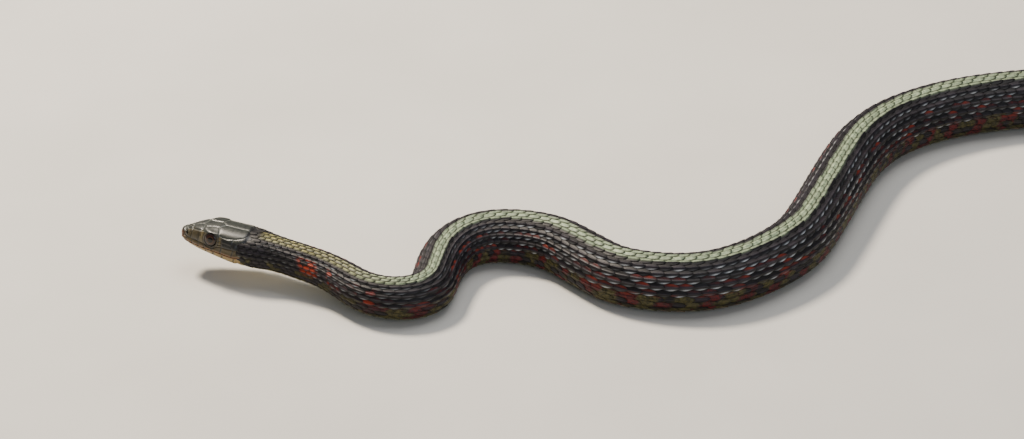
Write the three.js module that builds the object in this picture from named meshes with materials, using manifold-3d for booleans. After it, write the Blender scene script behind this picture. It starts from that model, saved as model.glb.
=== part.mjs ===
// A garter snake, life size, crawling with its head a little off the ground.
// Millimetres, +Z up. The head points to -X and the belly lies on the plane Z = 0.
// Distances along the animal are measured from the tip of the snout towards the tail.
import * as THREE from "three";
import { mergeVertices } from "three/addons/utils/BufferGeometryUtils.js";
import Module from "manifold-3d";

const wasm = await Module();
wasm.setup();

// Driving sizes of the animal
const TOTAL_LENGTH = 680;
const HEAD_LENGTH = 24;
const MOUTH_LENGTH = 21.2;
const VENT_AT = 516;
const JOINT_GAP = 0.3;

// Place of the snout tip, which puts the origin under the middle of the animal
const SNOUT_X = -264.24;
const SNOUT_Y = -26.68;

// Way of the body over the ground: [distance, heading in degrees, 0 along +X and 90 along +Y]
const HEADING = [
  [0, -19],
  [24, -19],
  [31, -24],
  [38, -25],
  [44, -36],
  [51, -43],
  [60, -17],
  [66, 6],
  [73, 42],
  [79, 80],
  [85, 78],
  [92, 66],
  [100, 39],
  [111, -1],
  [122, -23],
  [133, -47],
  [142, -46],
  [152, -23],
  [168, 3],
  [180, 26],
  [200, 48],
  [216, 67],
  [232, 69],
  [248, 67],
  [262, 56],
  [280, 35],
  [300, 18],
  [319, 7],
  [345, -32],
  [376, -68],
  [404, -50],
  [432, 0],
  [470, 58],
  [498, 44],
  [526, 0],
  [560, -44],
  [590, -26],
  [622, 14],
  [650, 30],
  [680, 12],
];

// Height of the widest level of the section, while the neck is off the ground: [distance, height]
const GROUNDED_AT = 84;
const NECK_RISE = [
  [0, 9.8],
  [12, 9.2],
  [24, 8.6],
  [31, 8.2],
  [40, 7.4],
  [50, 6.6],
  [57, 6.05],
  [64, 5.5],
  [72, 5.1],
  [GROUNDED_AT, 5.12],
];

// Half of the width: [distance, size]
const HALF_WIDTH = [
  [0, 0],
  [0.12, 0.85],
  [0.5, 1.65],
  [1.2, 2.35],
  [2.4, 3.0],
  [4.5, 3.75],
  [7, 4.45],
  [10, 5.05],
  [12.5, 5.5],
  [17, 6.3],
  [20, 6.5],
  [23, 6.15],
  [27, 5.25],
  [32, 4.8],
  [40, 4.8],
  [52, 5.2],
  [66, 5.7],
  [90, 6.6],
  [112, 7.3],
  [140, 7.6],
  [232, 7.9],
  [320, 8.25],
  [400, 8.1],
  [460, 7.1],
  [500, 6.1],
  [VENT_AT, 5.7],
  [545, 4.8],
  [600, 3.2],
  [650, 1.65],
  [674, 0.85],
  [TOTAL_LENGTH, 0.25],
];

// Height of the back above the widest level: [distance, size]
const BACK = [
  [0, 0],
  [0.12, 0.75],
  [0.5, 1.45],
  [1.2, 2.15],
  [2.4, 2.95],
  [4, 3.75],
  [6.6, 4.7],
  [10, 5.4],
  [13, 5.65],
  [19, 5.6],
  [23, 5.4],
  [27, 5.15],
  [32, 5.0],
  [40, 5.05],
  [66, 6.1],
  [90, 7.0],
  [112, 7.7],
  [140, 8.1],
  [232, 8.6],
  [320, 9.0],
  [400, 8.8],
  [460, 7.6],
  [VENT_AT, 5.9],
  [545, 5.0],
  [600, 3.2],
  [650, 1.6],
  [TOTAL_LENGTH, 0.3],
];

// Depth of the throat and belly below the widest level: [distance, size]
const BELLY = [
  [0, 0],
  [0.12, 0.3],
  [0.5, 0.75],
  [1.2, 1.1],
  [2.4, 1.5],
  [4.5, 2.0],
  [7, 2.4],
  [10, 2.8],
  [12.5, 3.15],
  [17, 3.7],
  [21, 4.0],
  [27, 4.35],
  [32, 4.55],
  [40, 4.7],
  [66, 5.2],
  [90, 5.6],
  [112, 6.1],
  [140, 6.5],
  [232, 6.9],
  [320, 7.2],
  [400, 7.0],
  [460, 6.1],
  [VENT_AT, 4.9],
  [545, 4.2],
  [600, 2.75],
  [650, 1.4],
  [TOTAL_LENGTH, 0.25],
];

// Squareness of the upper and lower halves of the section, 2 being an ellipse: [distance, exponent]
const UPPER_SQUARENESS = [
  [0, 2.2],
  [3, 2.9],
  [8, 3.5],
  [13, 3.1],
  [20, 2.5],
  [28, 2.1],
  [TOTAL_LENGTH, 2.0],
];
const LOWER_SQUARENESS = [
  [0, 2.0],
  [12, 2.2],
  [28, 2.1],
  [GROUNDED_AT, 2.5],
  [120, 2.7],
  [VENT_AT, 2.5],
  [600, 2.35],
  [TOTAL_LENGTH, 2.3],
];

// How much the sides lean in towards the crown, as a share of the half width: [distance, share]
const CROWN_LEAN = [
  [0, 0.1],
  [4, 0.1],
  [9.5, 0.06],
  [16, 0.08],
  [26, 0.02],
  [TOTAL_LENGTH, 0],
];

// The snout's tip stands above the mouth, and the head's axis falls a little towards the neck
const SNOUT_RAISE = 1.1;
const SNOUT_RAISE_LENGTH = 2.6;
const NOSE_SLOPE = -0.05;

// Ridge over the eye
const BROW = { at: 10, length: 2.7, angle: 42, spread: 13, height: 0.35 };

// Belly scutes, coarser than the real ones: each dips under the rear edge of the one before it
const SCUTE_PITCH_PER_WIDTH = 0.5;
const LEAST_SCUTE_PITCH = 5.8;
const FIRST_SCUTE_AT = HEAD_LENGTH + 5;
const LAST_SCUTE_AT = TOTAL_LENGTH - 16;
const SCUTE_STEP = 0.32;
const SCUTE_STEP_LENGTH = 0.3;
const SCUTE_RAMP = 0.45;
const SCUTE_TOP_ANGLE = 118;
const SCUTE_FULL_ANGLE = 136;

// The belly is pressed flat on the floor by this share of its depth
const FLATTENING = 0.07;

// Head plates, cut apart by seams. Distances along the head and out to one side, and heights over the lip
const SEAM_WIDTH = 0.28;
const SEAM_DEPTH = 0.24;
const CROWN_SEAMS = {
  between_snout_plates: [
    [1.4, 0],
    [6.6, 0],
  ],
  behind_internasal: [
    [3.4, 0],
    [3.8, 2.7],
  ],
  front_of_frontal: [
    [6.6, 0],
    [7.1, 1.75],
    [6.9, 3.9],
  ],
  side_of_frontal: [
    [7.1, 1.75],
    [11.5, 1.4],
    [12.8, 0],
  ],
  behind_brow: [
    [11.5, 1.4],
    [12.5, 4.3],
  ],
  between_parietals: [
    [12.8, 0],
    [19.6, 0],
  ],
  side_of_parietal: [
    [12.5, 4.3],
    [15, 4.6],
    [19.2, 3.5],
  ],
  behind_parietal: [
    [19.2, 3.5],
    [20.6, 1.4],
    [19.6, 0],
  ],
};
const CHEEK_SEAMS = {
  behind_nasal: [
    [3.8, 1.35],
    [4, 3.3],
  ],
  behind_loreal: [
    [6.4, 1.5],
    [6.5, 4.1],
  ],
  behind_eye: [
    [13.4, 1.9],
    [13.2, 4.3],
  ],
  between_postoculars: [
    [12.4, 3.3],
    [13.3, 3.3],
  ],
  behind_first_temporal: [
    [17, 2.2],
    [17.3, 4.4],
  ],
};
const LIP_SEAMS = [2.4, 4.3, 6.4, 8.7, 11.2, 14, 17.2];
const LIP_SEAM_LEAN = 0.35;
const UPPER_LIP_HEIGHT = [
  [1.5, 1.2],
  [6.9, 1.5],
  [10.2, 0.9],
  [12.7, 1.85],
  [20.3, 2.4],
];
const CHIN_LIP_DEPTH = [
  [2.5, 1.0],
  [18.3, 1.9],
];

// Eye and nostril, at distance, to the side and above the lip
const EYE = { at: 10.2, side: 4.35, height: 3.05, radius: 2.05, flatness: 0.45, tilt: 14 };
const NOSTRIL = { at: 2.3, side: 2.85, height: 2.1, radius: 0.42 };

// Faces round the sections, and the longest step between sections
const HEAD_SIDES = 32;
const BODY_SIDES = 18;
const TAIL_SIDES = 16;
const PATH_STEP = 0.5;

// The lengths that the body is divided into: [name, where each ends]
const LENGTHS = [
  ["neck", 58],
  ["torso_1", 95],
  ["torso_2", 148],
  ["torso_3", 212],
  ["torso_4", 276],
  ["torso_5", 340],
  ["torso_6", 404],
  ["torso_7", 460],
  ["torso_8", VENT_AT],
  ["tail_base", 574],
  ["tail_middle", 628],
  ["tail_tip", TOTAL_LENGTH],
];

const radians = THREE.MathUtils.degToRad;

// Value of a table at a distance, by monotone cubic pieces that never overshoot
function along(table, at) {
  const last = table.length - 1;
  if (at <= table[0][0]) return table[0][1];
  if (at >= table[last][0]) return table[last][1];
  let i = 0;
  while (at > table[i + 1][0]) i += 1;
  const width = (k) => table[k + 1][0] - table[k][0];
  const slope = (k) => (table[k + 1][1] - table[k][1]) / width(k);
  const tangent = (k) => {
    if (k === 0) return slope(0);
    if (k === last) return slope(last - 1);
    if (slope(k - 1) * slope(k) <= 0) return 0;
    const before = 2 * width(k) + width(k - 1);
    const after = width(k) + 2 * width(k - 1);
    return (before + after) / (before / slope(k - 1) + after / slope(k));
  };
  const t = (at - table[i][0]) / width(i);
  const rise = table[i + 1][1] - table[i][1];
  const bendIn = width(i) * tangent(i) - rise;
  const bendOut = rise - width(i) * tangent(i + 1);
  return table[i][1] + t * rise + t * (1 - t) * ((1 - t) * bendIn + t * bendOut);
}

const bellyDepth = (at) => along(BELLY, at);
const axisHeight = (at) =>
  at < GROUNDED_AT ? along(NECK_RISE, at) : bellyDepth(at) * (1 - FLATTENING);

// Points of the centre line, found by walking along the headings
const walked = [new THREE.Vector2(SNOUT_X, SNOUT_Y)];
for (let at = PATH_STEP; at <= TOTAL_LENGTH; at += PATH_STEP) {
  const heading = radians(along(HEADING, at - PATH_STEP / 2));
  const step = new THREE.Vector2(Math.cos(heading), Math.sin(heading));
  walked.push(walked.at(-1).clone().addScaledVector(step, PATH_STEP));
}

// Frame of the body at a distance: its point, and its tailward, right and upward directions
function bodyFrame(at) {
  const cell = Math.min(Math.floor(at / PATH_STEP), walked.length - 2);
  const ground = walked[cell].clone().lerp(walked[cell + 1], at / PATH_STEP - cell);
  const heading = radians(along(HEADING, at));
  const near = 0.5;
  const climb = (axisHeight(at + near) - axisHeight(at - near)) / (2 * near);
  const slope = at < near ? NOSE_SLOPE : climb;
  const tailward = new THREE.Vector3(Math.cos(heading), Math.sin(heading), slope);
  tailward.normalize();
  const right = new THREE.Vector3(-Math.sin(heading), Math.cos(heading), 0);
  const up = new THREE.Vector3().crossVectors(tailward, right);
  const point = new THREE.Vector3(ground.x, ground.y, axisHeight(at));
  return { point, tailward, right, up };
}

// Starts of the belly scutes
const scuteStarts = [];
for (let at = FIRST_SCUTE_AT; at < LAST_SCUTE_AT; ) {
  scuteStarts.push(at);
  const pitch = 2 * along(HALF_WIDTH, at) * SCUTE_PITCH_PER_WIDTH;
  at += Math.max(pitch, LEAST_SCUTE_PITCH);
}

// How far a scute lies in at a distance, as a share: 1 at its front edge and 0 on its flat
function scuteDip(at) {
  const i = scuteStarts.findLastIndex((start) => start <= at);
  if (i < 0 || i === scuteStarts.length - 1) return 0;
  const pitch = scuteStarts[i + 1] - scuteStarts[i];
  const ramp = 1 - (at - scuteStarts[i]) / (pitch * SCUTE_RAMP);
  const step = 1 - (scuteStarts[i + 1] - at) / SCUTE_STEP_LENGTH;
  return Math.max(ramp, step, 0);
}

// Point of the section at a distance and at an angle, 0 at the back and 180 at the belly, in the
// section's own right and up. Inset moves it in towards the middle.
function sectionPoint(at, degrees, inset = 0) {
  const angle = radians(degrees);
  const upper = Math.cos(angle) >= 0;
  const table = upper ? UPPER_SQUARENESS : LOWER_SQUARENESS;
  const power = 2 / along(table, at);
  const across = Math.sign(Math.sin(angle)) * Math.abs(Math.sin(angle)) ** power;
  const over = Math.sign(Math.cos(angle)) * Math.abs(Math.cos(angle)) ** power;
  const height = upper ? along(BACK, at) : bellyDepth(at);
  const lean = upper ? 1 - along(CROWN_LEAN, at) * over ** 1.5 : 1;
  const turned = Math.abs(THREE.MathUtils.euclideanModulo(degrees + 180, 360) - 180);
  const brow =
    BROW.height *
    Math.exp(-(((at - BROW.at) / BROW.length) ** 2)) *
    Math.exp(-(((turned - BROW.angle) / BROW.spread) ** 2));
  const out = brow - inset;
  const raise = SNOUT_RAISE * Math.max(0, 1 - at / SNOUT_RAISE_LENGTH) ** 2;
  return new THREE.Vector2(
    across * (Math.max(along(HALF_WIDTH, at) + out, 0.02) * lean),
    over * Math.max(height + out, 0.02) + raise,
  );
}

// Closed skin over rings of points, the first and last ring each closed round its own middle
function skinOver(rings) {
  const sides = rings[0].length;
  const positions = rings.flat().flatMap((p) => [p.x, p.y, p.z]);
  const faces = [];
  for (let r = 0; r + 1 < rings.length; r += 1) {
    for (let k = 0; k < sides; k += 1) {
      const a = r * sides + k;
      const b = r * sides + ((k + 1) % sides);
      faces.push(a, a + sides, b, b, a + sides, b + sides);
    }
  }
  for (const [ring, start, turn] of [
    [rings[0], 0, 1],
    [rings.at(-1), (rings.length - 1) * sides, -1],
  ]) {
    const middle = new THREE.Vector3();
    ring.forEach((p) => middle.addScaledVector(p, 1 / sides));
    const centre = positions.length / 3;
    positions.push(middle.x, middle.y, middle.z);
    for (let k = 0; k < sides; k += 1) {
      const pair = [start + k, start + ((k + 1) % sides)];
      if (turn < 0) pair.reverse();
      faces.push(centre, ...pair);
    }
  }
  const geometry = new THREE.BufferGeometry();
  geometry.setAttribute("position", new THREE.Float32BufferAttribute(positions, 3));
  geometry.setIndex(faces);
  return geometry;
}

// Angles round a section. The lower ones keep clear of the seam between back and belly.
const ringAngles = (sides) => Array.from({ length: sides }, (_, k) => (k * 360) / sides);

// Boolean solids from geometries and back
function solid(geometry) {
  const bare = geometry.clone();
  for (const name of Object.keys(bare.attributes)) {
    if (name !== "position") bare.deleteAttribute(name);
  }
  const merged = mergeVertices(bare, 1e-4);
  return new wasm.Manifold(
    new wasm.Mesh({
      numProp: 3,
      vertProperties: merged.attributes.position.array,
      triVerts: new Uint32Array(merged.index.array),
    }),
  );
}

function largestBody(shape) {
  const bodies = shape.decompose();
  return bodies.sort((a, b) => b.volume() - a.volume())[0];
}

function geometryOf(shape) {
  const mesh = largestBody(shape).getMesh();
  const geometry = new THREE.BufferGeometry();
  const positions = new Float32Array(mesh.vertProperties);
  geometry.setAttribute("position", new THREE.BufferAttribute(positions, 3));
  geometry.setIndex(new THREE.BufferAttribute(new Uint32Array(mesh.triVerts), 1));
  return geometry;
}

// Materials
const finish = (colour, roughness) =>
  new THREE.MeshStandardMaterial({ color: colour, roughness, metalness: 0 });
const CROWN_SKIN = finish("#45473f", 0.45);
const LIP_SKIN = finish("#9a9068", 0.5);
const BODY_SKIN = finish("#2c2a2b", 0.5);
const EYE_GLOSS = finish("#1a1411", 0.1);

function node(name, geometry, material) {
  geometry.computeVertexNormals();
  const mesh = new THREE.Mesh(geometry, material);
  mesh.name = name;
  return mesh;
}

// Head, in its own frame: x back from the snout, y to the animal's right, z up from the lip line
const HEAD_STATIONS = [0.02, 0.12, 0.5, 1.2, 2.2, 3.5, 5, 6.6, 8, 9, 10, 11, 12.3, 13.6];
for (let at = 15.3; at < HEAD_LENGTH - 0.5; at += 1.7) HEAD_STATIONS.push(at);
HEAD_STATIONS.push(HEAD_LENGTH);

function headLoft(inset) {
  const rings = HEAD_STATIONS.map((at) =>
    ringAngles(HEAD_SIDES).map((degrees) => {
      const p = sectionPoint(at, degrees, inset);
      return new THREE.Vector3(at + inset, p.x, p.y);
    }),
  );
  return solid(skinOver(rings));
}

// A thin wall standing on a seam, from one point to the next, to cut a groove with
const WALL_HEIGHT = 12;
function seamWall([x1, a1], [x2, a2]) {
  const length = Math.hypot(x2 - x1, a2 - a1) + SEAM_WIDTH / 2;
  const wall = new THREE.BoxGeometry(length, SEAM_WIDTH, WALL_HEIGHT);
  wall.rotateZ(Math.atan2(a2 - a1, x2 - x1));
  wall.translate((x1 + x2) / 2, (a1 + a2) / 2, 0);
  return wall;
}

const bothSides = (geometry) => {
  const shape = solid(geometry);
  return [shape, shape.mirror([0, 1, 0])];
};

// Walls over the crown stand upright, and those on the lips stand out to the side
const crownWalls = Object.values(CROWN_SEAMS).flatMap((points) =>
  points.slice(1).flatMap((point, i) => {
    const wall = seamWall(points[i], point);
    return bothSides(wall.translate(0, 0, WALL_HEIGHT / 2 + 1.6));
  }),
);
const sideWall = (from, to) =>
  bothSides(seamWall(from, to).rotateX(Math.PI / 2).translate(0, WALL_HEIGHT / 2 + 1.2, 0));
const lipWalls = LIP_SEAMS.flatMap((at) =>
  sideWall([at, 0], [at + LIP_SEAM_LEAN, along(UPPER_LIP_HEIGHT, at)]),
);
const lipTopWalls = UPPER_LIP_HEIGHT.slice(1).flatMap((point, i) =>
  sideWall(UPPER_LIP_HEIGHT[i], point),
);
const chinWalls = LIP_SEAMS.flatMap((at) =>
  sideWall([at + LIP_SEAM_LEAN, 0], [at, -along(CHIN_LIP_DEPTH, at)]),
);
const chinLipWalls = sideWall(
  [CHIN_LIP_DEPTH[0][0], -CHIN_LIP_DEPTH[0][1]],
  [CHIN_LIP_DEPTH[1][0], -CHIN_LIP_DEPTH[1][1]],
);

const cheekWalls = Object.values(CHEEK_SEAMS).flatMap(([from, to]) => sideWall(from, to));

const joined = (shapes) => shapes.reduce((all, shape) => all.add(shape));
const wholeHead = headLoft(0);
const headCore = headLoft(SEAM_DEPTH);
const seams = joined([
  ...crownWalls,
  ...lipWalls,
  ...lipTopWalls,
  ...chinWalls,
  ...chinLipWalls,
  ...cheekWalls,
]).subtract(headCore);

const eyeBall = (grow) =>
  new THREE.SphereGeometry(1, 16, 8)
    .rotateX(Math.PI / 2)
    .scale(EYE.radius + grow, EYE.radius * EYE.flatness + grow, EYE.radius + grow)
    .rotateX(radians(EYE.tilt))
    .translate(EYE.at, EYE.side, EYE.height);
const eyeSockets = joined(bothSides(eyeBall(JOINT_GAP)));
const nostrils = joined(
  bothSides(
    new THREE.SphereGeometry(NOSTRIL.radius, 8, 6)
      .scale(1, 2.2, 1)
      .translate(NOSTRIL.at, NOSTRIL.side, NOSTRIL.height),
  ),
);

// The mouth is a thin cut under the upper lip, which turns down behind the corner of the jaw
const CUT_WIDTH = 40;
const mouthCut = new THREE.BoxGeometry(MOUTH_LENGTH + 5, CUT_WIDTH, JOINT_GAP);
mouthCut.translate(MOUTH_LENGTH / 2 - 2.5, 0, 0);
const jawEnd = new THREE.BoxGeometry(JOINT_GAP, CUT_WIDTH, 12);
jawEnd.translate(MOUTH_LENGTH, 0, -6 + JOINT_GAP / 2);
const jawBlock = new THREE.BoxGeometry(MOUTH_LENGTH + 4, CUT_WIDTH, 12);
jawBlock.translate(MOUTH_LENGTH / 2 - 2 - JOINT_GAP / 2, 0, -6 - JOINT_GAP / 2);

const plated = wholeHead.subtract(seams);
const lowerJaw = plated.intersect(solid(jawBlock));
const upperHead = plated
  .subtract(joined([solid(jawBlock), solid(mouthCut), solid(jawEnd)]))
  .subtract(eyeSockets)
  .subtract(nostrils);

const head = new THREE.Group();
const headFrame = bodyFrame(0.01);
head.applyMatrix4(
  new THREE.Matrix4()
    .makeBasis(headFrame.tailward, headFrame.right, headFrame.up)
    .setPosition(headFrame.point),
);
head.add(node("head", geometryOf(upperHead), CROWN_SKIN));
head.add(node("lower_jaw", geometryOf(lowerJaw), LIP_SKIN));
const [rightEye, leftEye] = bothSides(eyeBall(0));
head.add(node("eye_left", geometryOf(leftEye), EYE_GLOSS));
head.add(node("eye_right", geometryOf(rightEye), EYE_GLOSS));

// Distances of the sections in one length of the body, with one at each edge of a scute
function stationsBetween(from, to) {
  const edges = scuteStarts.flatMap((start, i) => {
    const pitch = (scuteStarts[i + 1] ?? start + LEAST_SCUTE_PITCH) - start;
    return [start - SCUTE_STEP_LENGTH, start, start + pitch * SCUTE_RAMP];
  });
  const tip = [LAST_SCUTE_AT + 5, TOTAL_LENGTH - 5, TOTAL_LENGTH - 1.5];
  const near = 0.4;
  const between = [...edges, ...tip].filter((at) => at > from + near && at < to - near);
  return [from, ...between, to];
}

// The nearest place to a cut that lies on the flat of a scute
function onFlat(cut) {
  if (cut >= TOTAL_LENGTH) return TOTAL_LENGTH;
  const i = scuteStarts.findLastIndex((start) => start <= cut);
  return scuteStarts[i] + 0.75 * (scuteStarts[i + 1] - scuteStarts[i]);
}

// One length of the body, flat where it rests on the floor, its scutes rising in at their fronts
function bodyLength(from, to, sides) {
  const rings = stationsBetween(from, to).map((at) => {
    const frame = bodyFrame(at);
    return ringAngles(sides).map((degrees) => {
      const p = sectionPoint(at, degrees);
      const point = frame.point.clone();
      point.addScaledVector(frame.right, p.x).addScaledVector(frame.up, p.y);
      point.z = Math.max(point.z, 0);
      const turned = Math.min(degrees, 360 - degrees);
      const belly = THREE.MathUtils.smoothstep(turned, SCUTE_TOP_ANGLE, SCUTE_FULL_ANGLE);
      return point.addScaledVector(frame.up, belly * SCUTE_STEP * scuteDip(at));
    });
  });
  return skinOver(rings);
}

const snake = new THREE.Group();
snake.add(head);
let start = HEAD_LENGTH;
for (const [name, end] of LENGTHS) {
  const cut = onFlat(end);
  const sides = end > VENT_AT ? TAIL_SIDES : BODY_SIDES;
  const stop = cut < TOTAL_LENGTH ? cut - JOINT_GAP / 2 : cut;
  snake.add(node(name, bodyLength(start + JOINT_GAP, stop, sides), BODY_SKIN));
  start = cut - JOINT_GAP / 2;
}

export default snake;
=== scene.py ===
import math

import bpy
import numpy as np
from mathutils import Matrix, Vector
from mathutils.kdtree import KDTree


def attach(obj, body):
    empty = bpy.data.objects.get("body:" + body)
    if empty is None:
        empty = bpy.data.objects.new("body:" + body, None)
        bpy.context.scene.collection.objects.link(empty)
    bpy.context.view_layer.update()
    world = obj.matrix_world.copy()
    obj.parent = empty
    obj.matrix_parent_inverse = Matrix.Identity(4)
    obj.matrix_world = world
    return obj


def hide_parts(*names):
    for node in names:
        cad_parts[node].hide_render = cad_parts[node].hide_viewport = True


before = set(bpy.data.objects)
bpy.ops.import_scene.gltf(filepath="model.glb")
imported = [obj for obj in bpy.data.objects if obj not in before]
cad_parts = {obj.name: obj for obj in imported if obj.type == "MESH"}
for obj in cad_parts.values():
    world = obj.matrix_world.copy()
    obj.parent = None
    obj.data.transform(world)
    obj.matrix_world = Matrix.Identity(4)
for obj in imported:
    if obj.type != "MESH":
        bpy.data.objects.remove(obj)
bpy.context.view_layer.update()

# A garter snake, life size, crawling with its head a little off the ground.
# Sizes are in millimetres. Distances along the animal run from the tip of the snout to the tail.
# Girth runs round a section: 0 on the back, 1 or -1 on the belly, more than 0 on the right side.

# Driving sizes of the animal
TOTAL_LENGTH = 680
VENT_AT = 516
MOUTH_LENGTH = 21.2
SNOUT_X = -264.24
SNOUT_Y = -26.68
GROUNDED_AT = 84
PATH_STEP = 0.5
FLATTENING = 0.07
MILLIMETRE = 0.001

# Way of the body over the ground: distance, heading in degrees
HEADING = [
    (0, -19), (24, -19), (31, -24), (38, -25), (44, -36), (51, -43), (60, -17), (66, 6),
    (73, 42), (79, 80), (85, 78), (92, 66), (100, 39), (111, -1), (122, -23), (133, -47),
    (142, -46), (152, -23), (168, 3), (180, 26), (200, 48), (216, 67), (232, 69), (248, 67),
    (262, 56), (280, 35), (300, 18), (319, 7), (345, -32), (376, -68), (404, -50), (432, 0),
    (470, 58), (498, 44), (526, 0), (560, -44), (590, -26), (622, 14), (650, 30), (680, 12),
]
# Height of the axis over the ground where the head and neck are lifted
NECK_RISE = [
    (0, 9.8), (12, 9.2), (24, 8.6), (31, 8.2), (40, 7.4), (50, 6.6), (57, 6.05), (64, 5.5),
    (72, 5.1), (GROUNDED_AT, 5.12),
]
# Sizes of the sections from the axis: out to a side, up to the back and down to the belly
HALF_WIDTH = [
    (0, 0), (0.12, 0.85), (0.5, 1.65), (1.2, 2.35), (2.4, 3.0), (4.5, 3.75), (7, 4.45),
    (10, 5.05), (12.5, 5.5), (17, 6.3), (20, 6.5), (23, 6.15), (27, 5.25), (32, 4.8),
    (40, 4.8), (52, 5.2), (66, 5.7), (90, 6.6), (112, 7.3), (140, 7.6), (232, 7.9),
    (320, 8.25), (400, 8.1), (460, 7.1), (500, 6.1), (VENT_AT, 5.7), (545, 4.8), (600, 3.2),
    (650, 1.65), (674, 0.85), (TOTAL_LENGTH, 0.25),
]
BACK = [
    (0, 0), (0.12, 0.75), (0.5, 1.45), (1.2, 2.15), (2.4, 2.95), (4, 3.75), (6.6, 4.7),
    (10, 5.4), (13, 5.65), (19, 5.6), (23, 5.4), (27, 5.15), (32, 5.0), (40, 5.05), (66, 6.1),
    (90, 7.0), (112, 7.7), (140, 8.1), (232, 8.6), (320, 9.0), (400, 8.8), (460, 7.6),
    (VENT_AT, 5.9), (545, 5.0), (600, 3.2), (650, 1.6), (TOTAL_LENGTH, 0.3),
]
BELLY = [
    (0, 0), (0.12, 0.3), (0.5, 0.75), (1.2, 1.1), (2.4, 1.5), (4.5, 2.0), (7, 2.4), (10, 2.8),
    (12.5, 3.15), (17, 3.7), (21, 4.0), (27, 4.35), (32, 4.55), (40, 4.7), (66, 5.2),
    (90, 5.6), (112, 6.1), (140, 6.5), (232, 6.9), (320, 7.2), (400, 7.0), (460, 6.1),
    (VENT_AT, 4.9), (545, 4.2), (600, 2.75), (650, 1.4), (TOTAL_LENGTH, 0.25),
]
# How square the sections are above and below, where 2 is an ellipse
UPPER_SQUARENESS = [
    (0, 2.2), (3, 2.9), (8, 3.5), (13, 3.1), (20, 2.5), (28, 2.1), (TOTAL_LENGTH, 2.0),
]
LOWER_SQUARENESS = [
    (0, 2.0), (12, 2.2), (28, 2.1), (84, 2.5), (120, 2.7), (VENT_AT, 2.5), (600, 2.35),
    (TOTAL_LENGTH, 2.3),
]
CROWN_LEAN = [
    (0, 0.1), (4, 0.1), (9.5, 0.06), (16, 0.08), (26, 0.02), (TOTAL_LENGTH, 0),
]
SNOUT_RAISE = 1.1
SNOUT_RAISE_LENGTH = 2.6
NOSE_SLOPE = -0.05
BROW = {"at": 10, "length": 2.7, "angle": 42, "spread": 13, "height": 0.35}
EYE = {"at": 10.2, "side": 4.35, "height": 3.05, "radius": 2.05, "flatness": 0.45, "tilt": 14}
EYE_OPENING = 1.72
EYEBALL_RADIUS = 1.8
NOSTRIL = {"at": 2.3, "side": 2.85, "height": 2.1, "radius": 0.42}

# Height of the edge between the crown and the cheeks
CANTHUS = [
    (0, 1.7), (1.5, 2.1), (2.4, 2.85), (3.8, 3.45), (6.4, 4.15), (7.7, 4.4), (10.2, 4.5), (12.6, 4.3),
    (15, 4.2), (19.2, 3.7), (21, 3.4), (TOTAL_LENGTH, 3.4),
]
# Seams between the head plates: on the crown as (back, side), on the cheek as (back, height)
CROWN_SEAMS = [
    [(1.3, 0), (1.35, 1.0), (1.5, 1.9)],
    [(1.3, 0), (6.6, 0)],
    [(3.4, 0), (3.8, 1.4), (3.9, 2.9)],
    [(6.6, 0), (7.1, 1.75), (6.9, 3.9)],
    [(7.1, 1.75), (9.4, 1.45), (11.5, 1.4), (12.8, 0)],
    [(11.5, 1.4), (12.5, 4.3)],
    [(12.8, 0), (19.4, 0)],
    [(12.5, 4.3), (15, 4.55), (17.4, 4.2), (19.2, 3.4)],
    [(19.2, 3.4), (20.2, 2.2), (20.5, 1.3), (19.4, 0)],
]
CHEEK_SEAMS = [
    [(1.2, 0.9), (1.45, 1.6), (1.5, 2.1)],
    [(1.5, 2.1), (2.4, 2.85), (3.8, 3.45), (6.4, 4.15), (7.7, 4.5)],
    [(2.3, 1.2), (2.3, 2.8)],
    [(3.8, 1.3), (4.0, 3.45)],
    [(6.3, 1.45), (6.5, 4.1)],
    [(13.6, 1.9), (13.3, 4.3)],
    [(12.4, 3.4), (13.4, 3.5)],
    [(12.3, 2.4), (13.5, 2.6)],
    [(13.4, 3.1), (16.6, 3.2)],
    [(16.5, 2.2), (16.7, 4.6)],
]
LIP_SEAMS = [2.2, 4.2, 6.2, 8.2, 10.5, 13.3, 16.8]
LIP_SEAM_LEAN = 0.35
UPPER_LIP_HEIGHT = [(1.1, 1.1), (6.9, 1.45), (10.2, 0.95), (12.7, 1.85), (20.3, 2.4)]
CHIN_LIP_DEPTH = [(1.2, 0.5), (2.5, 1.0), (18.3, 1.9), (20.6, 2.0)]
# Seams under the chin as (back, side)
CHIN_SEAMS = [
    [(1.7, 0), (12.4, 0)],
    [(1.8, 0), (2.2, 0.9)],
    [(2.2, 0.9), (4.0, 1.35), (7.2, 2.0)],
    [(7.2, 0), (7.2, 2.0)],
    [(7.2, 2.0), (10.0, 2.3), (12.6, 1.9)],
    [(12.6, 1.9), (12.9, 0.9), (12.4, 0)],
]
SEAM_DEPTH = 0.13
SEAM_WIDTH = 0.14
MOUTH_DEPTH = 0.42
MOUTH_WIDTH = 0.13

# Coat of scales: its depth as a share of the half width, and the length of body to each scale
COAT_SHARE = 0.052
COAT_STARTS_AT = 19.3
CHEEK_COAT_STARTS_AT = 17.3
THROAT_STARTS_AT = 12.4
COAT_ONSET = 1.0
SCALE_PITCH = [
    (18, 1.75), (30, 2.1), (60, 2.6), (140, 3.25), (320, 3.4), (400, 3.35), (500, 2.85),
    (545, 2.6), (600, 2.1), (650, 1.5), (TOTAL_LENGTH, 1.1),
]
ROWS_A_SIDE = 9
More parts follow.
